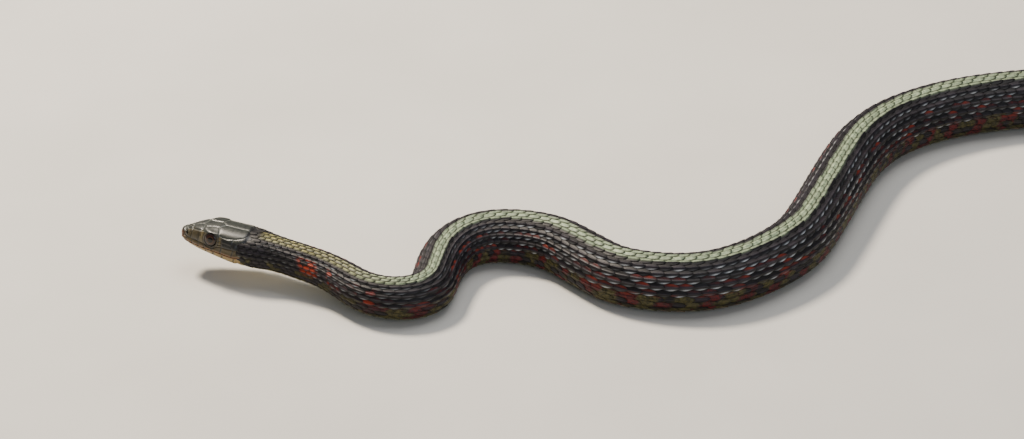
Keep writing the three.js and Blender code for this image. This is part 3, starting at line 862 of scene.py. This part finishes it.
def head_seams():
    """All seams between plates, and those of the lips alone, which are darker."""
    plates = [seam_points(line, angle_for_side) for line in CROWN_SEAMS]
    plates += [seam_points(line, angle_for_height) for line in CHEEK_SEAMS]
    chin = [
        seam_points(line, lambda at, side: angle_for_side(at, side, True)) for line in CHIN_SEAMS
    ]
    lip_top = [(at, float(upper_lip_height(at))) for at in np.linspace(1.1, 20.3, 60)]
    lip_low = [(at, -float(chin_lip_depth(at))) for at in np.linspace(2.4, 20.4, 60)]
    edges = [seam_points(lip_top, angle_for_height), seam_points(lip_low, angle_for_height)]
    lips = []
    for at in LIP_SEAMS:
        top = float(upper_lip_height(at))
        lips.append(seam_points([(at, 0.1), (at + LIP_SEAM_LEAN, top)], angle_for_height))
        depth = float(chin_lip_depth(at))
        lips.append(
            seam_points([(at + 0.7, -0.1), (at + 0.7 - LIP_SEAM_LEAN, -depth)], angle_for_height)
        )
    return np.concatenate(plates + chin + edges), np.concatenate(lips)


def eye_axis(side):
    tilt = math.radians(EYE["tilt"])
    return np.array([0, side * math.cos(tilt), math.sin(tilt)])


def head_relief(points):
    """How far each point of the head moves out, and the shares of its colours."""
    x, y, z = points[:, 0], points[:, 1], points[:, 2]
    plates, lips = head_seams()
    near_plate = distance_to(points, plates)
    near_lip = distance_to(points, lips)
    near = np.minimum(near_plate, near_lip)
    move = -SEAM_DEPTH * np.exp(-((near / SEAM_WIDTH) ** 2))
    move += 0.07 * (1 - np.exp(-near / 0.45)) - 0.03
    plated = 1 - ease(18.6, 19.4, x - 1.2 * ease(2.8, 3.6, z))
    move *= plated
    # The line of the mouth, with the upper lip full above it
    below_snout = between(0.55, 0.8, MOUTH_LENGTH - 0.6, MOUTH_LENGTH + 0.2, x)
    mouth = np.exp(-((z / MOUTH_WIDTH) ** 2)) * below_snout
    move -= MOUTH_DEPTH * mouth
    move += 0.16 * bump(z, 0.55, 0.45) * below_snout
    move -= 0.12 * ease(0.1, 0.5, -z) * (1 - ease(0.5, 1.6, -z)) * below_snout
    black = np.zeros_like(x)
    seam = np.exp(-((near_plate / 0.10) ** 2)) * 0.7 * plated
    # Seams are painted dark below the canthus and pale above it. The pale on the crown is partly pale
    # skin and partly painted highlight, lighter on top where the light falls.
    on_crown = ease(-0.25, 0.1, z - canthus_height(x))
    for side in (-1, 1):
        # The nostril is a round pit in the nasal plate, painted black inside as painted shade of the
        # opening
        off = points - np.array([NOSTRIL["at"], side * NOSTRIL["side"], NOSTRIL["height"]])
        reach = np.hypot(off[:, 0], off[:, 2]) + 9 * (y * side < 0)
        move -= 0.75 * np.exp(-((reach / (NOSTRIL["radius"] * 0.85)) ** 4))
        move += 0.08 * np.exp(-(((reach - 0.62) / 0.2) ** 2))
        black = np.maximum(black, np.exp(-((reach / (NOSTRIL["radius"] * 0.95)) ** 6)))
        # The eye sits in a socket with a thin raised ring, and the gap round the eyeball is painted
        # black as painted shade
        axis = eye_axis(side)
        off = points - np.array([EYE["at"], side * EYE["side"], EYE["height"]])
        outward = off @ axis
        flat = np.linalg.norm(off - outward[:, None] * axis, axis=1) + 9 * (y * side < 0)
        rim = EYE_OPENING
        move -= 1.3 * (1 - ease(rim - 0.12, rim + 0.10, flat))
        low = 1 - ease(4.1, 4.9, z)
        move += 0.12 * low * np.exp(-(((flat - rim - 0.28) / 0.16) ** 2))
        move -= 0.07 * low * np.exp(-(((flat - rim - 0.68) / 0.12) ** 2))
        black = np.maximum(black, (1 - ease(rim + 0.02, rim + 0.2, flat)))
        seam = np.maximum(seam, 0.5 * low * np.exp(-(((flat - rim - 0.68) / 0.1) ** 2)))
    # The brow plate overhangs the eye with a blunt edge
    brow_reach = between(7.0, 8.0, 12.0, 12.9, x)
    move += 0.2 * np.exp(-(((z - 4.85) / 0.28) ** 2)) * brow_reach
    snout_edge = between(1.6, 2.6, 7.0, 8.0, x)
    move += 0.1 * np.exp(-(((z - canthus_height(x) - 0.2) / 0.25) ** 2)) * snout_edge
    # Colours of the face
    jitter = 0.16 * np.sin(x * 2.7 + 1.3 * np.sin(z * 3.1)) * np.sin(y * 2.9 + z * 1.7)
    lip_top = upper_lip_height(x)
    on_head = 1 - ease(19.8, 20.8, x)
    upper_lip = ease(-0.05, 0.05, z) * (1 - ease(-0.08, 0.08, z - lip_top + jitter * 0.3)) * on_head
    lower_lip = (1 - ease(-0.06, 0.06, z)) * on_head
    canthus = canthus_height(x)
    side_zone = ease(-0.08, 0.08, z - lip_top) * (1 - ease(-0.15, 0.15, z - canthus + jitter))
    cheek = side_zone * (1 - ease(13.3, 13.9, x + jitter))
    temple = side_zone * ease(13.3, 13.9, x + jitter)
    temple = np.maximum(temple, ease(18.6, 20.2, x) * (z > 0.8) * (1 - ease(20.8, 22.5, x) * 0.2))
    light = cheek * (bump(x, 7.2, 0.55) + 0.8 * bump(x, 12.9, 0.5))
    lip_dark = np.exp(-((near_lip / (0.2 + 0.14 * bump(x, 10.5, 3.5))) ** 2))
    lip_dark = lip_dark * ease(0.1, 0.5, np.abs(z)) * on_head * (0.75 + 0.25 * ease(6, 8, x))
    chin = lower_lip * (1 - 0.25 * ease(-1.0, -0.2, z))
    under = ease(0.70, 0.86, 1 - ease(-2.5, -0.5, z)) * on_head
    orange = on_head * (bump(z, 0.22, 0.26) + 0.6 * bump(z, -0.32, 0.2)) * ease(1.2, 2.5, x)
    rust = 0.55 * bump(x, 0.6, 0.9) * ease(-0.4, 0.4, z) * (1 - ease(1.4, 2.2, z))
    black = np.maximum(black, np.maximum(0.9 * lip_dark, 0.97 * mouth))
    black = np.maximum(black, 0.8 * temple)
    return move, {
        "cheek": cheek,
        "light": light * (1 - black),
        "lip": upper_lip,
        "chin": np.maximum(chin, under),
        "orange": 0.6 * orange * (1 - black),
        "rust": rust,
        "black": black,
        "seam": seam * (1 - on_crown),
        # pale crown seams: partly pale skin, partly painted highlight
        "pale_seam_and_glint": 0.55 * seam * on_crown * (x < 19.5),
        "bare": ease(19.2, 20.0, x),
    }


def skin_piece(material):
    """One closed skin from snout to tail tip, fine on the head and plainer under the scales."""
    rings = np.concatenate(
        [3 * (np.linspace(0, 1, 41) ** 2), np.arange(3.115, 21, 0.115), np.arange(21, HEAD_END, 0.3)]
    )
    rings[0] = 0.004
    rings = np.append(rings, HEAD_END)
    girth = 2 * np.arange(HEAD_COLUMNS) / HEAD_COLUMNS
    at = rings[:, None] + 0 * girth[None, :]
    around = girth[None, :] + 0 * at
    depth = coat_depth(at, around)
    side, up = section_out(at, around, -depth)
    local = np.stack([at, side, up], -1)
    before = np.roll(local, 1, axis=1)
    after = np.roll(local, -1, axis=1)
    down_way = np.gradient(local, axis=0)
    normal = np.cross(after - before, down_way)
    normal /= np.maximum(np.linalg.norm(normal, axis=-1, keepdims=True), 1e-9)
    outward = np.sign(np.sum(normal[60, 10] * np.array([0, side[60, 10], up[60, 10]])))
    normal *= outward
    move, shares = head_relief(local.reshape(-1, 3))
    moved = local + normal * move.reshape(at.shape)[..., None]
    point, tailward, right_way, up_way = body_frame(at)
    head_points = (
        point
        + tailward * (moved[..., 0] - at)[..., None]
        + right_way * moved[..., 1][..., None]
        + up_way * moved[..., 2][..., None]
    ).reshape(-1, 3)
    body_at = np.concatenate([np.arange(HEAD_END + 0.5, 672, 1.8), np.linspace(672.5, 679.9, 12)])
    body_girth = 2 * np.arange(BODY_COLUMNS) / BODY_COLUMNS
    b_at = body_at[:, None] + 0 * body_girth[None, :]
    b_girth = body_girth[None, :] + 0 * b_at
    tip_taper = 0.2 * ease(678.4, 679.9, b_at)
    body_points = body_point(b_at, b_girth, -coat_depth(b_at, b_girth) - tip_taper).reshape(-1, 3)
    points = np.concatenate([head_points, body_points])
    for key in shares:
        rest = np.ones(len(body_points)) if key == "bare" else np.zeros(len(body_points))
        shares[key] = np.concatenate([shares[key], rest])
    all_at = np.concatenate([at.reshape(-1), b_at.reshape(-1)])
    all_girth = (np.concatenate([around.reshape(-1), b_girth.reshape(-1)]) + 1) % 2 - 1
    rows = np.abs(all_girth) / BELLY_EDGE * (ROWS_A_SIDE + 0.5)
    random = np.random.default_rng(SKIN_SEED).random(len(points))
    marks = markings(all_at, rows, random, np.zeros(len(points)), 0.5)
    bare = shares["bare"]
    for key, value in marks.items():
        shares[key] = value * (bare if key != "yellow" else 1)
    shares["stripe"] = shares["stripe"] * 0.6
    shares["red"] = np.clip(shares["red"] * 1.2, 0, 1)
    # Faces: the head's grid, the belt where it meets the coarser body, the body, and two caps
    n = HEAD_COLUMNS
    head_rings = len(rings)

    def grid_faces(start, ring_count, columns):
        index = start + np.arange(ring_count * columns).reshape(ring_count, columns)
        nxt = np.roll(index, -1, axis=1)
        return np.stack([index[:-1], index[1:], nxt[1:], nxt[:-1]], -1).reshape(-1, 4)

    head_faces = grid_faces(0, head_rings, n)
    body_start = head_rings * n
    body_faces = grid_faces(body_start, len(body_at), BODY_COLUMNS)
    step = n // BODY_COLUMNS
    last = (head_rings - 1) * n
    belt = []
    for k in range(BODY_COLUMNS):
        fine = [last + (k * step + j) % n for j in range(step + 1)]
        belt.append([body_start + k, body_start + (k + 1) % BODY_COLUMNS] + fine[::-1])
    belt = np.array(belt)
    nose = np.arange(n)[None, :]
    tail = (body_start + (len(body_at) - 1) * BODY_COLUMNS + np.arange(BODY_COLUMNS))[::-1][None, :]

    # Flat layout: the head's skin on the upper part, the body's folded in lines below it
    head_low = 0.42

    def ring_place(faces, columns, count):
        ring = faces // columns
        column = faces % columns
        wraps = (column.max(axis=1) - column.min(axis=1)) > columns / 2
        column = np.where(wraps[:, None] & (column == 0), columns, column)
        across = column / columns
        return across, ring / (count - 1)

    across, down = ring_place(head_faces, n, head_rings)
    head_map = np.stack([0.01 + 0.98 * across, 1 - 0.01 - (0.57 - 0.02) * down], -1)
    folds = 8
    local_faces = body_faces - body_start
    across, down = ring_place(local_faces, BODY_COLUMNS, len(body_at))
    per_fold = (len(body_at) - 1) / folds
    first_ring = (local_faces // BODY_COLUMNS).min(axis=1)
    fold = np.floor(first_ring / per_fold)
    along_line = (down * (len(body_at) - 1) - fold[:, None] * per_fold) / (per_fold + 1)
    body_map = np.stack(
        [0.01 + 0.97 * along_line, head_low * (fold[:, None] + 0.04 + 0.9 * across) / folds], -1
    )
    belt_map = np.stack(
        [
            0.2 + 0.5 * np.linspace(0, 1, belt.shape[1])[None, :] + 0 * belt,
            0.4225 + 0.001 * (np.arange(belt.shape[1]) > 1)[None, :] + 0 * belt,
        ],
        -1,
    )
    turn = np.linspace(0, 2 * math.pi, n, endpoint=False)
    nose_map = np.stack([0.85 + 0.002 * np.cos(turn), 0.4235 + 0.002 * np.sin(turn)], -1)[None]
    turn = np.linspace(0, 2 * math.pi, BODY_COLUMNS, endpoint=False)
    tail_map = np.stack([0.9 + 0.002 * np.cos(turn), 0.4235 + 0.002 * np.sin(turn)], -1)[None]
    return mesh_piece(
        "snake_skin",
        points,
        [head_faces, body_faces, belt, nose, tail],
        (),
        [head_map, body_map, belt_map, nose_map, tail_map],
        shares,
        material,
    )


# Scales
KEEL_ACROSS = [-1, -0.82, -0.45, -0.14, 0, 0.14, 0.45, 0.82, 1]
SCALE_ROWS = 11
KEEL_OF_ROW = [1, 1, 1, 1, 1, 1, 0.9, 0.8, 0.55, 0.2]


def leaf_outline(way):
    """Half width of a scale as a share: narrower at the hidden root, rounded to the tip."""
    rear = np.clip((way - 0.5) / 0.5, 0, 1)
    front = 0.7 + 0.3 * np.sin(np.clip(way / 0.5, 0, 1) * math.pi / 2)
    return front * np.maximum((1 - rear**2.3) ** 0.62, 0.1)


def scale_height(way, over, at, tiles):
    """Height of a keeled scale over the body's surface, for a body 16 mm wide."""
    grown = ease(0, 0.4, way)
    keel = tiles["keel"][:, None, None] * ease(21, 40, at)
    ridge = 0.27 * keel * np.exp(-((over / 0.13) ** 2)) * grown * (1 - 0.6 * ease(0.85, 1, way))
    crown = 0.11 * (1 - over**2) * grown
    return -0.42 + 0.34 * way**0.9 + crown + ridge


def scale_rows_piece(name, rows, material):
    """Joins the scales of some rows, given as signed row numbers, into one piece."""
    roots, lengths, numbers, lanes = [], [], [], []
    for lane, row in enumerate(rows):
        k = abs(row)
        end = TOTAL_LENGTH - 1.0
        for dropped, stop in DROPPED_ROWS:
            if dropped == k:
                end = stop - 0.3 * DROP_LENGTH
        at = roots_of_row(k, FIRST_SCALES_AT[k] + 0.1, end)
        roots.append(at)
        lengths.append(scale_pitch(at) * SCALE_OVERLAP)
        numbers.append(np.full(len(at), row))
        lanes.append(np.full(len(at), lane))
    roots = np.concatenate(roots)
    lengths = np.concatenate(lengths)
    numbers = np.concatenate(numbers)
    lanes = np.concatenate(lanes)
    lengths = np.minimum(lengths, TOTAL_LENGTH - 0.1 - roots)
    count = len(roots)
    chance = CHANCES.random(count)

    def spread_over_rows(value_of, at):
        found = np.zeros_like(at)
        for row in rows:
            chosen = numbers == row
            found[chosen] = value_of(row, at[chosen])
        return found

    def middle(at):
        return spread_over_rows(lambda row, a: np.sign(row) * row_middle(abs(row), a), at)

    def reach(at, way):
        widths = spread_over_rows(lambda row, a: row_reach(abs(row), a), at)
        return widths * SCALE_WIDENING * leaf_outline(way)

    def shares(at, girth, way, over, tiles):
        row = spread_over_rows(lambda r, a: np.full_like(a, abs(r)), at)
        reach_now = over * leaf_outline(way) * 0.58
        outward = np.where(numbers == 0, 1, np.sign(numbers))[:, None, None]
        lower = over * outward + 0 * at
        place = np.where(numbers[:, None, None] == 0, np.abs(reach_now), row + reach_now * outward)
        marks = markings(at, place, tiles["chance"][:, None, None] + 0 * at, lower, way)
        neck = 1 - ease(*NECK_FADE, at)
        rim = ease(0.5 - 0.48 * neck, 0.95 - 0.4 * neck, np.abs(over))
        rim = np.maximum(rim, ease(0.72 - 0.12 * neck, 0.97 - 0.1 * neck, way))
        marks["rim"] = rim * (0.5 + 0.5 * marks["stripe"]) * (1 - marks["pale"])
        # Share of the painted highlight along the keel.
        marks["keel"] = np.exp(-((over / 0.1) ** 2)) * ease(0.2, 0.5, way) + 0 * at
        marks["chance"] = tiles["chance"][:, None, None] + 0 * at
        return marks

    tiles = {
        "root": roots,
        "length": lengths * (0.97 + 0.06 * CHANCES.random(count)),
        "middle": middle,
        "lean": 0.004 * (CHANCES.random(count) - 0.5),
        "chance": chance,
        "keel": np.array([KEEL_OF_ROW[abs(n)] for n in numbers]),
        **unrolled(roots, lanes, len(rows), max(2, round(20 / len(rows) ** 0.5))),
    }
    return lay_tiles(
        name, tiles, KEEL_ACROSS, SCALE_ROWS, scale_height, reach, shares, material
    )


def scute_height(way, over, at, tiles):
    """Height of a belly scute: nearly flat, its rear edge lying over the next one."""
    return -0.40 + 0.32 * way**0.9


def belly_scutes_piece(material):
    """The wide belly scutes from the throat to the vent, and the split ones under the tail."""
    body = roots_of_row(0, FIRST_SCUTE_AT, VENT_AT - 1)
    tail = roots_of_row(0, VENT_AT, TOTAL_LENGTH - 2)
    roots = np.concatenate([body, tail, tail + 0.35 * scale_pitch(tail)])
    side = np.concatenate([np.zeros(len(body)), np.ones(len(tail)), -np.ones(len(tail))])
    lengths = scale_pitch(roots) * SCUTE_OVERLAP
    lengths = np.minimum(lengths, TOTAL_LENGTH - 0.1 - roots)
    chance = CHANCES.random(len(roots))
    belly = 1 - BELLY_EDGE

    def middle(at):
        return 1 + side[:, None, None] * belly * -0.5 + 0 * at

    def reach(at, way):
        wide = np.where(side == 0, belly * 1.05, belly * 0.56)[:, None, None]
        return wide * (1 - 0.08 * ease(0.75, 1.0, way)) + 0 * at

    def shares(at, girth, way, over, tiles):
        rim = np.maximum(ease(0.97, 1.0, np.abs(over)), ease(0.9, 1.0, way)) + 0 * at
        off_middle = np.abs((girth + 1) % 2 - 1)
        out = (1 - off_middle) / belly
        spot = bump(out, 0.8, 0.12) * bump(way, 0.45, 0.25) * (tiles["chance"][:, None, None] > 0.25)
        smoky = 0.35 * ease(0.5, 0.0, way) + 0.15 * ease(150, 420, at)
        return {
            "rim": rim,
            "dark": np.clip(0.9 * spot + smoky, 0, 1),
            "chin": (1 - ease(26, 52, at)) * 0.8,
            "red": 0.6 * ease(0.88, 1.0, out) * (tiles["chance"][:, None, None] > 0.6) + 0 * at,
        }

    lanes = np.where(side < 0, 1, 0)
    tiles = {
        "root": roots,
        "length": lengths,
        "middle": middle,
        "lean": np.zeros(len(roots)),
        "chance": chance,
        **unrolled(roots, lanes, 2, 6),
    }
    across = np.linspace(-1, 1, 25)
    return lay_tiles("belly_scutes", tiles, across, 7, scute_height, reach, shares, material)


def throat_scales_piece(material):
    """Small smooth scales between the chin shields and the first belly scute."""
    roots, steps, lanes = [], [], []
    for step in range(-4, 5):
        first = THROAT_ROW_STARTS[abs(step)]
        last = FIRST_SCUTE_AT + 1.0
        at = np.arange(first + (THROAT_PITCH / 2 if step % 2 else 0), last, THROAT_PITCH)
        roots.append(at)
        steps.append(np.full(len(at), step))
        lanes.append(np.full(len(at), step + 4))
    roots = np.concatenate(roots)
    steps = np.concatenate(steps)
    lanes = np.concatenate(lanes)
    spacing = (1 - BELLY_EDGE) / THROAT_ROWS_TO_EDGE

    def middle(at):
        return 1 + steps[:, None, None] * spacing + 0 * at

    def reach(at, way):
        return spacing * THROAT_SCALE_REACH * leaf_outline(way) + 0 * at

    def height(way, over, at, tiles):
        return -0.45 + 0.27 * way**0.9 + 0.07 * (1 - over**2) * ease(0, 0.4, way)

    def shares(at, girth, way, over, tiles):
        rim = np.maximum(ease(0.75, 1.0, np.abs(over)), ease(0.88, 1.0, way)) + 0 * at
        return {"rim": 0.6 * rim, "dark": 0 * at, "chin": 1 + 0 * at, "red": 0 * at}

    tiles = {
        "root": roots,
        "length": np.full(len(roots), THROAT_PITCH * SCALE_OVERLAP),
        "middle": middle,
        "lean": np.zeros(len(roots)),
        "chance": CHANCES.random(len(roots)),
        **unrolled(roots, lanes, 9, 1),
    }
    across = np.linspace(-1, 1, 9)
    return lay_tiles("throat_scales", tiles, across, 9, height, reach, shares, material)


# Eyes
def eye_piece(name, side, material):
    """An eyeball as a flattened dome in its socket."""
    radius = EYEBALL_RADIUS
    rings = 40
    turns = 96
    share_out = np.concatenate([np.linspace(0.012, 1, rings), np.linspace(0.93, 0.05, 8)])
    front = np.arange(len(share_out)) < rings
    angle = np.linspace(0, 2 * math.pi, turns, endpoint=False)
    dome = np.sqrt(np.maximum(0, 1 - share_out**2.1)) * radius * EYE["flatness"] * 0.95
    depth = np.where(front, dome, -dome)
    across = share_out[:, None] * np.cos(angle)[None, :] * radius
    over = share_out[:, None] * np.sin(angle)[None, :] * radius
    axis = eye_axis(side)
    back_way = np.array([1.0, 0, 0])
    up_way = np.cross(back_way, axis) * side
    centre = np.array([EYE["at"], side * EYE["side"], EYE["height"]])
    local = (
        centre
        + across[..., None] * back_way
        + over[..., None] * up_way
        + (depth[:, None] + 0 * across)[..., None] * axis
    ).reshape(-1, 3)
    point, tailward, right_way, up_frame = body_frame(np.array(0.01))
    points = (
        point
        + local[:, :1] * tailward
        + local[:, 1:2] * right_way
        + local[:, 2:] * up_frame
    )
    index = np.arange(len(share_out) * turns).reshape(len(share_out), turns)
    nxt = np.roll(index, -1, axis=1)
    faces = np.stack([index[:-1], index[1:], nxt[1:], nxt[:-1]], -1).reshape(-1, 4)
    caps = [index[0][None, :], index[-1][::-1][None, :]]
    if side < 0:
        faces = faces[:, ::-1]
        caps = [cap[:, ::-1] for cap in caps]
    out = share_out[:, None] + 0 * across
    back = ~front[:, None] + 0 * across
    shares = {
        "pupil": 1 - ease(0.44, 0.48, out),
        "ring": 0.55 * np.exp(-(((out - 0.50) / 0.03) ** 2)),
        "rim": np.maximum(ease(0.76, 0.9, out), back),
    }
    return mesh_piece(name, points, [faces] + caps, (), None, shares, material)


# Floor, lamps and camera
def pale_floor(material):
    ways = ((-1, -1), (1, -1), (1, 1), (-1, 1))
    corners = np.array([(x * FLOOR_REACH, y * FLOOR_REACH, FLOOR_LEVEL) for x, y in ways])
    face = np.array([[0, 1, 2, 3]])
    floor = mesh_piece("floor", corners, [face], (0,), None, None, material)


def lamp(name, place, aim, size, power, colour):
    """A large soft lamp at a place in millimetres, aimed at a point."""
    light = bpy.data.lights.new(name, "AREA")
    light.shape = "DISK"
    light.size = size * MILLIMETRE
    light.energy = power
    light.color = linear(colour)[:3]
    holder = bpy.data.objects.new(name, light)
    bpy.context.scene.collection.objects.link(holder)
    holder.location = Vector(place) * MILLIMETRE
    way = Vector(aim) - Vector(place)
    holder.rotation_euler = way.to_track_quat("-Z", "Y").to_euler()


def studio():
    target = Vector(VIEW_TARGET)
    for name, (offset, size, power, colour) in LAMPS.items():
        lamp(name, target + Vector(offset), target, size, power, colour)
    world = bpy.data.worlds.new("studio_air")
    world.use_nodes = True
    world.node_tree.nodes["Background"].inputs["Color"].default_value = linear(AIR_COLOUR)
    world.node_tree.nodes["Background"].inputs["Strength"].default_value = AIR_STRENGTH
    bpy.context.scene.world = world


def photo_camera():
    camera = bpy.data.cameras.new("photo_camera")
    camera.lens = VIEW_LENS
    camera.sensor_width = VIEW_SENSOR
    camera.clip_start = 0.01
    camera.clip_end = 20
    holder = bpy.data.objects.new("photo_camera", camera)
    bpy.context.scene.collection.objects.link(holder)
    rise = math.radians(VIEW_ELEVATION)
    away = Vector((0, -math.cos(rise), math.sin(rise))) * VIEW_DISTANCE
    holder.location = (Vector(VIEW_TARGET) + away) * MILLIMETRE
    holder.rotation_euler = (-away).to_track_quat("-Z", "Y").to_euler()
    bpy.context.scene.camera = holder


def place_piece(piece, nodes=()):
    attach(piece, "root")
    if nodes:
        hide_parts(*nodes)


photo_camera()
studio()
pale_floor(pale_paper_floor())

scale_horn = keeled_scale_horn()
scute_horn = belly_scute_horn()
skin = skin_piece(head_plate_horn())
flesh_nodes = [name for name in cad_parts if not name.startswith("eye")]
place_piece(skin, flesh_nodes)

SCALE_PIECES = {
    "back_scales": [0, 1, -1],
    "left_upper_scales": [-2, -3, -4],
    "left_middle_scales": [-5, -6, -7],
    "left_lower_scales": [-8, -9],
    "right_upper_scales": [2, 3, 4],
    "right_middle_scales": [5, 6, 7],
    "right_lower_scales": [8, 9],
}
for piece_name, rows_of_piece in SCALE_PIECES.items():
    place_piece(scale_rows_piece(piece_name, rows_of_piece, scale_horn))
place_piece(belly_scutes_piece(scute_horn))
place_piece(throat_scales_piece(scute_horn))
eye_gloss = wet_eye()
place_piece(eye_piece("eyeball_left", -1, eye_gloss), ["eye_left"])
place_piece(eye_piece("eyeball_right", 1, eye_gloss), ["eye_right"])
